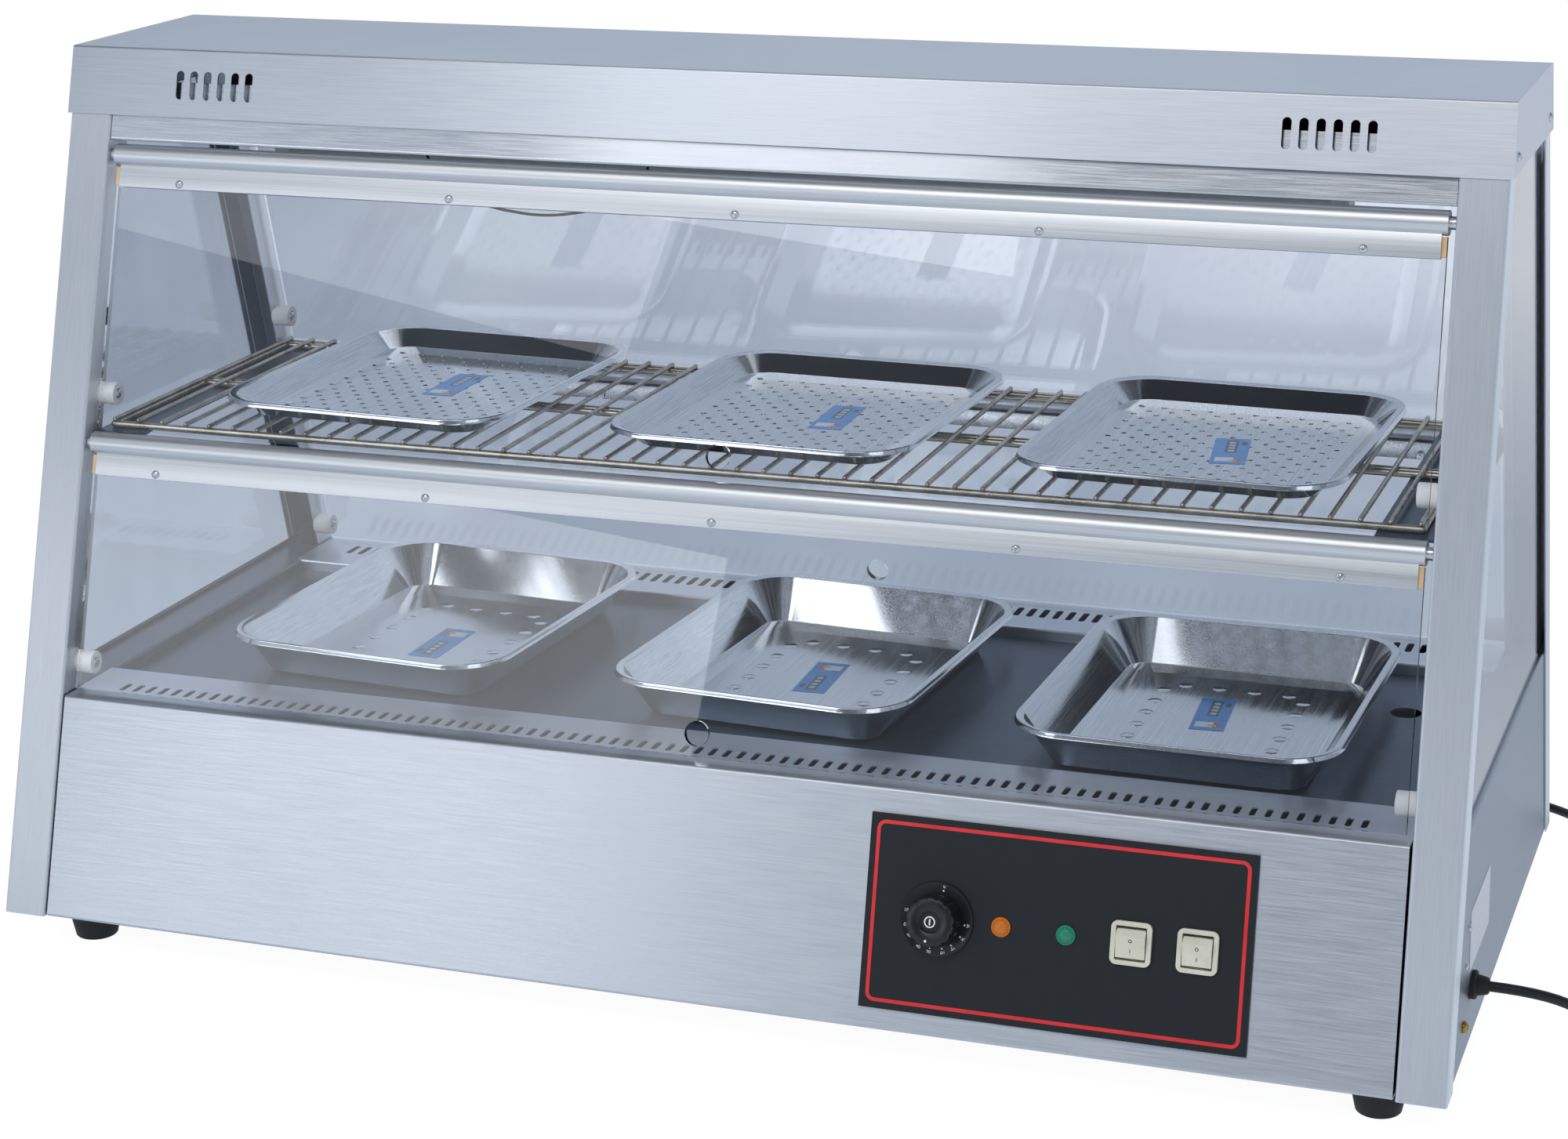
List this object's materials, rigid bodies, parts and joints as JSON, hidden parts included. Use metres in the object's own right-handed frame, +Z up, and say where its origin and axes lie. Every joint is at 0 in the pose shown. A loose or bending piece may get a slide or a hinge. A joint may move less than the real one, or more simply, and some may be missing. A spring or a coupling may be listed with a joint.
{
  "type": "food warmer cabinet",
  "caption": "Countertop food warmer of brushed stainless sheet with leaning lift-up glass doors on both faces, a wire shelf, lift-out trays and pans, and a control plate.",
  "frame": {"origin": "on the floor under the middle of the cabinet, between the four feet", "axes": "+X along the length towards the side with the supply cord, the operator's front with the control plate faces -Y, +Z up"},
  "size_m": [1.3107, 0.7229, 0.7344],
  "materials": {
    "stainless_frame": "stainless sheet, brushed along the post",
    "stainless_panel": "stainless sheet, brushed lengthwise",
    "polished_stainless": "drawn stainless, bright polished",
    "warming_plate": "satin plate",
    "satin_aluminium": "satin anodised",
    "clear_glass": "clear toughened glass",
    "lamp_glass": "white coated tube",
    "nickel_wire": "nickel plated, tarnished",
    "black_rubber": "matte",
    "white_nylon": "matte",
    "white_plastic": "moulded",
    "black_plastic": "moulded, satin",
    "ivory_plastic": "moulded, half gloss",
    "amber_lens": "moulded lens",
    "green_lens": "moulded lens",
    "element_steel": "heat-darkened",
    "screws_steel": "bright"
  },
  "bodies": {
    "cabinet": {"post_front_right": "stainless_frame", "post_front_left": "stainless_frame", "post_rear_left": "stainless_frame", "post_rear_right": "stainless_frame", "base_panel_front": "stainless_panel", "base_panel_rear": "stainless_panel", "base_panel_right": "stainless_panel", "base_panel_left": "stainless_panel", "bottom_tray": "stainless_panel", "side_ledges": "stainless_panel", "cap": "stainless_panel", "header_panels": "stainless_panel", "ceiling_panel": "stainless_panel", "glass_retainers": "stainless_panel", "shelf_ledges": "stainless_panel", "warming_plate": "warming_plate", "feet": "black_rubber", "lamp_tube": "lamp_glass", "lamp_holders": "white_plastic", "lamp_lead": "white_plastic", "side_glass_right": "clear_glass", "side_glass_left": "clear_glass", "door_bumpers": "white_nylon", "frame_screws": "screws_steel", "control_plate": "satin_aluminium", "dial_plate": "black_plastic", "thermostat": "black_plastic", "pilot_lamp_amber": "amber_lens", "pilot_lamp_green": "green_lens", "switch_frames": "ivory_plastic", "heating_elements": "element_steel", "terminal_block": "white_plastic", "rating_plate": "satin_aluminium", "cable_gland": "black_plastic", "power_cord": "black_rubber", "cord_coil": "black_rubber", "mains_plug": "black_rubber"},
    "door_front_lower": {"door_front_lower_bar": "satin_aluminium", "door_front_lower_glass": "clear_glass", "door_front_lower_fittings": "screws_steel"},
    "door_front_upper": {"door_front_upper_bar": "satin_aluminium", "door_front_upper_glass": "clear_glass", "door_front_upper_fittings": "screws_steel"},
    "door_rear_lower": {"door_rear_lower_bar": "satin_aluminium", "door_rear_lower_glass": "clear_glass", "door_rear_lower_fittings": "screws_steel"},
    "door_rear_upper": {"door_rear_upper_bar": "satin_aluminium", "door_rear_upper_glass": "clear_glass", "door_rear_upper_fittings": "screws_steel"},
    "temperature_knob": {"temperature_knob": "black_plastic"},
    "rocker_power": {"rocker_power": "ivory_plastic"},
    "rocker_light": {"rocker_light": "ivory_plastic"},
    "wire_shelf": {"wire_shelf": "nickel_wire"},
    "tray_left": {"tray_left": "polished_stainless"},
    "pan_left": {"pan_left": "polished_stainless"},
    "tray_centre": {"tray_centre": "polished_stainless"},
    "pan_centre": {"pan_centre": "polished_stainless"},
    "tray_right": {"tray_right": "polished_stainless"},
    "pan_right": {"pan_right": "polished_stainless"}
  },
  "joints": [
    {"name": "door_front_lower_hinge", "type": "hinge", "parent": "cabinet", "child": "door_front_lower", "pos_m": [0, -0.17802, 0.41073], "axis": [-1, 0, 0], "range_deg": [0, 85]},
    {"name": "door_front_upper_hinge", "type": "hinge", "parent": "cabinet", "child": "door_front_upper", "pos_m": [0, -0.11323, 0.64433], "axis": [-1, 0, 0], "range_deg": [0, 85]},
    {"name": "door_rear_lower_hinge", "type": "hinge", "parent": "cabinet", "child": "door_rear_lower", "pos_m": [0, 0.17802, 0.41073], "axis": [1, 0, 0], "range_deg": [0, 85]},
    {"name": "door_rear_upper_hinge", "type": "hinge", "parent": "cabinet", "child": "door_rear_upper", "pos_m": [0, 0.11323, 0.64433], "axis": [1, 0, 0], "range_deg": [0, 85]},
    {"name": "temperature_knob_turn", "type": "hinge", "parent": "cabinet", "child": "temperature_knob", "pos_m": [0.2096, -0.26957, 0.11802], "axis": [0, -0.9636, 0.2672], "range_deg": [-90, 178]},
    {"name": "rocker_power_tilt", "type": "hinge", "parent": "cabinet", "child": "rocker_power", "pos_m": [0.3608, -0.26668, 0.11721], "axis": [-1, 0, 0], "range_deg": [0, 14]},
    {"name": "rocker_light_tilt", "type": "hinge", "parent": "cabinet", "child": "rocker_light", "pos_m": [0.4112, -0.26668, 0.11721], "axis": [-1, 0, 0], "range_deg": [0, 14]},
    {"name": "wire_shelf_lift", "type": "slide", "parent": "cabinet", "child": "wire_shelf", "axis": [0, 0, 1], "range_m": [0, 0.005]},
    {"name": "tray_left_lift", "type": "slide", "parent": "wire_shelf", "child": "tray_left", "axis": [0, 0, 1], "range_m": [0, 0.012]},
    {"name": "tray_centre_lift", "type": "slide", "parent": "wire_shelf", "child": "tray_centre", "axis": [0, 0, 1], "range_m": [0, 0.012]},
    {"name": "tray_right_lift", "type": "slide", "parent": "wire_shelf", "child": "tray_right", "axis": [0, 0, 1], "range_m": [0, 0.012]},
    {"name": "pan_left_lift", "type": "slide", "parent": "cabinet", "child": "pan_left", "axis": [0, 0, 1], "range_m": [0, 0.06]},
    {"name": "pan_centre_lift", "type": "slide", "parent": "cabinet", "child": "pan_centre", "axis": [0, 0, 1], "range_m": [0, 0.06]},
    {"name": "pan_right_lift", "type": "slide", "parent": "cabinet", "child": "pan_right", "axis": [0, 0, 1], "range_m": [0, 0.06]}
  ]
}
